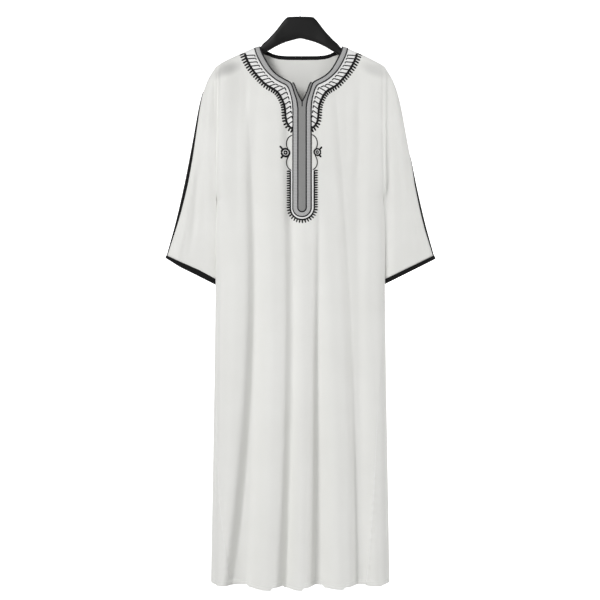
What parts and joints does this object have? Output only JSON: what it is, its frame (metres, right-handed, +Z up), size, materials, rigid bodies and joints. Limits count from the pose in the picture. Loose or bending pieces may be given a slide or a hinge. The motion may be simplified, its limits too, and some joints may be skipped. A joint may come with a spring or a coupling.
{
  "type": "embroidered robe on a hanger",
  "caption": "Long white robe with three-quarter sleeves, black edges and an embroidered neck and placket, hung on a black wide-shoulder hanger.",
  "frame": {"origin": "underside of the hook's crest, where a rail carries the hanger", "axes": "+Z up, the robe's front towards -Y, +X to the right of a viewer in front"},
  "size_m": [0.653, 0.1305, 1.448],
  "materials": {
    "white_cloth": "white woven cloth with a soft dull sheen",
    "black_tape": "black woven tape",
    "light_braid": "light grey braid with dark edge cords",
    "grey_strip": "grey stitched strip",
    "black_plastic": "black moulded plastic, satin",
    "steel_wire": "plated steel wire"
  },
  "bodies": {
    "root": {"front": "white_cloth", "back": "white_cloth", "gore_left": "white_cloth", "gore_right": "white_cloth", "sleeve_left_front": "white_cloth", "sleeve_left_back": "white_cloth", "sleeve_right_front": "white_cloth", "sleeve_right_back": "white_cloth", "cuff_binding_left": "black_tape", "cuff_binding_right": "black_tape", "sleeve_tape_left": "black_tape", "sleeve_tape_right": "black_tape", "back_neck_binding": "black_tape", "neck_braid": "light_braid", "placket_strip": "grey_strip", "hanger_body": "black_plastic", "hanger_hook": "steel_wire"}
  },
  "joints": []
}
